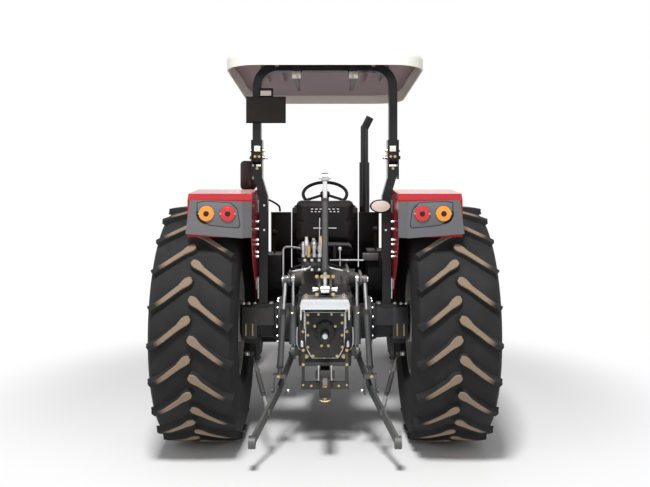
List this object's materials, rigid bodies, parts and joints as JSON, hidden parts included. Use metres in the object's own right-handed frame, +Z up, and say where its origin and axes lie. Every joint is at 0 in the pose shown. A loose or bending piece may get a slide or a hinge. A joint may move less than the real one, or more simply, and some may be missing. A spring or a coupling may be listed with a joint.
{
  "type": "farm tractor",
  "caption": "Open-station farm tractor with a folding roll bar, canopy, driven front axle and a rear three-point hitch, standing parked with its lower links down",
  "frame": {"origin": "bottom centre of the tractor's box, on the ground", "axes": "+X the driver's right, +Y forwards, +Z up"},
  "size_m": [2.296, 4.1249, 2.7618],
  "materials": {
    "tyre_rubber": "matt moulded rubber, lug faces dusted brown",
    "rim_paint": "light grey paint",
    "casting_paint": "charcoal paint on castings",
    "black_paint": "satin black paint",
    "red_paint": "glossy red paint",
    "grey_plastic": "moulded grey plastic",
    "cream_plastic": "cream moulded plastic",
    "black_plastic": "black moulded plastic",
    "amber_lens": "amber lens",
    "red_lens": "red lens",
    "clear_lens": "clear lens in a black bezel",
    "seat_cover": "black vinyl seat cover",
    "hitch_steel": "dark grey forged steel",
    "bright_steel": "bright machined steel",
    "zinc_sheet": "bright zinc-plated sheet"
  },
  "bodies": {
    "chassis": {"amber_lamps": "amber_lens", "dash_cowl": "black_plastic", "drawbar": "casting_paint", "engine": "casting_paint", "exhaust": "black_paint", "fender_left": "red_paint", "fender_right": "red_paint", "front_support": "casting_paint", "fuel_tank": "black_plastic", "gearbox": "casting_paint", "hydraulics": "casting_paint", "lamp_housing_left": "grey_plastic", "lamp_housing_right": "grey_plastic", "levers": "black_plastic", "lift_housing": "casting_paint", "mirror": "black_plastic", "platform": "black_paint", "pto_guard": "zinc_sheet", "radiator": "black_paint", "red_lamps": "red_lens", "rops_post_left": "black_paint", "rops_post_right": "black_paint", "seat_backrest": "seat_cover", "seat_base": "black_paint", "seat_cushion": "seat_cover", "side_frame_left": "black_paint", "side_frame_right": "black_paint", "work_lamp": "clear_lens"},
    "hoop": {"rops_hoop": "black_paint", "canopy": "cream_plastic", "number_plate": "black_plastic"},
    "bonnet_lid": {"bonnet": "red_paint", "grille": "black_plastic", "headlamps": "clear_lens"},
    "axle": {"front_axle": "casting_paint"},
    "knuckle_l": {"knuckle_left": "casting_paint"},
    "knuckle_r": {"knuckle_right": "casting_paint"},
    "front_wheel_l": {"front_tyre_left": "tyre_rubber", "front_rim_left": "rim_paint"},
    "front_wheel_r": {"front_tyre_right": "tyre_rubber", "front_rim_right": "rim_paint"},
    "rear_wheel_l": {"rear_tyre_left": "tyre_rubber", "rear_rim_left": "rim_paint"},
    "rear_wheel_r": {"rear_tyre_right": "tyre_rubber", "rear_rim_right": "rim_paint"},
    "tie_rods": {"steering_rod": "bright_steel"},
    "hand_wheel": {"steering_wheel": "black_plastic"},
    "rockshaft": {"lift_arms": "hitch_steel"},
    "hanging_rods": {"lift_rods": "hitch_steel"},
    "draught_links": {"lower_link_left": "hitch_steel", "lower_link_right": "hitch_steel"},
    "rams": {"ram_barrels": "hitch_steel"},
    "ram_pistons": {"ram_rods": "bright_steel"},
    "upper_link": {"top_link": "bright_steel"},
    "stub_shaft": {"pto_shaft": "bright_steel"}
  },
  "joints": [
    {"name": "roll_bar_fold", "type": "hinge", "parent": "chassis", "child": "hoop", "pos_m": [0, -1.3175, 2.04], "axis": [1, 0, 0], "range_deg": [0, 90]},
    {"name": "bonnet_open", "type": "hinge", "parent": "chassis", "child": "bonnet_lid", "pos_m": [0, 0.0725, 1.68], "axis": [1, 0, 0], "range_deg": [0, 50]},
    {"name": "front_axle_swing", "type": "hinge", "parent": "chassis", "child": "axle", "pos_m": [0, 1.2825, 0.7], "axis": [0, 1, 0], "range_deg": [-8, 8]},
    {"name": "steer_left", "type": "hinge", "parent": "axle", "child": "knuckle_l", "pos_m": [-0.69, 1.2825, 0.64], "axis": [0, 0, 1], "range_deg": [-38, 38]},
    {"name": "steer_right", "type": "hinge", "parent": "axle", "child": "knuckle_r", "pos_m": [0.69, 1.2825, 0.64], "axis": [0, 0, 1], "range_deg": [-38, 38]},
    {"name": "steering_cylinder", "type": "slide", "parent": "axle", "child": "tie_rods", "axis": [1, 0, 0], "range_m": [-0.134, 0.134]},
    {"name": "steering_wheel_turn", "type": "hinge", "parent": "chassis", "child": "hand_wheel", "pos_m": [0, -0.2775, 1.765], "axis": [0, -0.5299, 0.848], "range_deg": [-457, 457]},
    {"name": "front_wheel_left_spin", "type": "hinge", "parent": "knuckle_l", "child": "front_wheel_l", "pos_m": [-0.86, 1.2825, 0.64], "axis": [1, 0, 0], "continuous": true},
    {"name": "front_wheel_right_spin", "type": "hinge", "parent": "knuckle_r", "child": "front_wheel_r", "pos_m": [0.86, 1.2825, 0.64], "axis": [1, 0, 0], "continuous": true},
    {"name": "rear_wheel_left_spin", "type": "hinge", "parent": "chassis", "child": "rear_wheel_l", "pos_m": [-0.858, -1.2175, 0.845], "axis": [1, 0, 0], "continuous": true},
    {"name": "rear_wheel_right_spin", "type": "hinge", "parent": "chassis", "child": "rear_wheel_r", "pos_m": [0.858, -1.2175, 0.845], "axis": [1, 0, 0], "continuous": true},
    {"name": "lift_arms_raise", "type": "hinge", "parent": "chassis", "child": "rockshaft", "pos_m": [0, -1.3675, 1.18], "axis": [-1, 0, 0], "range_deg": [0, 65]},
    {"name": "lift_rods_swing", "type": "hinge", "parent": "rockshaft", "child": "hanging_rods", "pos_m": [0, -1.6265, 1.2], "axis": [-1, 0, 0], "range_deg": [-50.2, 0]},
    {"name": "lower_links_raise", "type": "hinge", "parent": "chassis", "child": "draught_links", "pos_m": [0, -1.2375, 0.61], "axis": [-1, 0, 0], "range_deg": [0, 39.8]},
    {"name": "ram_swing", "type": "hinge", "parent": "chassis", "child": "rams", "pos_m": [0, -1.5555, 0.7], "axis": [-1, 0, 0], "range_deg": [0, 7.5]},
    {"name": "ram_slide", "type": "slide", "parent": "rams", "child": "ram_pistons", "axis": [0, 0.0568, 0.9984], "range_m": [0, 0.161]},
    {"name": "top_link_swing", "type": "hinge", "parent": "chassis", "child": "upper_link", "pos_m": [0, -1.6475, 1.135], "axis": [1, 0, 0], "range_deg": [0, 90]},
    {"name": "pto_spin", "type": "hinge", "parent": "chassis", "child": "stub_shaft", "pos_m": [0, -1.6875, 0.82], "axis": [0, 1, 0], "continuous": true}
  ],
  "couplings": [
    {"joint": "steer_right", "follows": "steer_left", "ratio": 1},
    {"joint": "steering_cylinder", "follows": "steer_left", "m_per_rad": 0.2},
    {"joint": "steering_wheel_turn", "follows": "steer_left", "ratio": 12},
    {"joint": "lift_rods_swing", "follows": "lift_arms_raise", "ratio": -0.769},
    {"joint": "lower_links_raise", "follows": "lift_arms_raise", "ratio": 0.611},
    {"joint": "ram_swing", "follows": "lift_arms_raise", "ratio": 0.1132},
    {"joint": "ram_slide", "follows": "lift_arms_raise", "m_per_rad": 0.1411}
  ]
}
